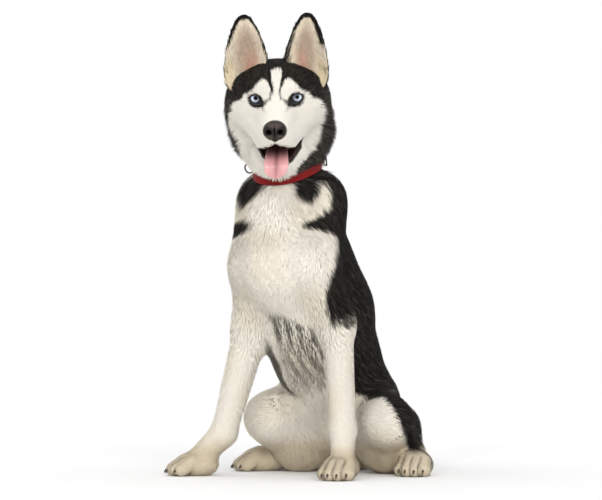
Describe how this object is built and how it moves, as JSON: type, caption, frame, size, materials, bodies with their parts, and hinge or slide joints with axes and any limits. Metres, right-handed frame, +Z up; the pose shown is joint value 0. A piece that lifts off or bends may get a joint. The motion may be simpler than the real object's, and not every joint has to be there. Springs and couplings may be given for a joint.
{
  "type": "sitting dog",
  "caption": "Young husky-type dog sitting upright with its head turned and mouth open, in a black and white coat and a red collar.",
  "frame": {"origin": "middle of the bounding box, on the floor that the dog sits on", "axes": "+Z up, -Y the way the chest faces, +X the dog's left"},
  "size_m": [0.3908, 0.6384, 0.7085],
  "materials": {
    "white_coat": "matte cream-white fur",
    "dark_coat": "matte black-brown fur",
    "tan_coat": "matte cream-tan short fur",
    "nose": "damp dark brown skin",
    "tongue": "wet pink skin",
    "eye": "glossy pale blue eye",
    "collar": "dark red band",
    "steel": "dark steel"
  },
  "bodies": {
    "root": {"torso": "white_coat", "hips": "white_coat", "neck": "white_coat", "head": "white_coat", "jaw": "white_coat", "foreleg_left": "white_coat", "foreleg_right": "white_coat", "hindleg_left": "white_coat", "hindleg_right": "white_coat", "paw_front_left": "tan_coat", "paw_front_right": "tan_coat", "paw_hind_left": "tan_coat", "paw_hind_right": "tan_coat", "tail": "dark_coat", "ear_left": "dark_coat", "ear_right": "dark_coat", "nose": "nose", "tongue": "tongue", "eye_left": "eye", "eye_right": "eye", "collar": "collar", "collar_keeper": "collar", "collar_ring": "steel", "collar_buckle": "steel"}
  },
  "joints": []
}
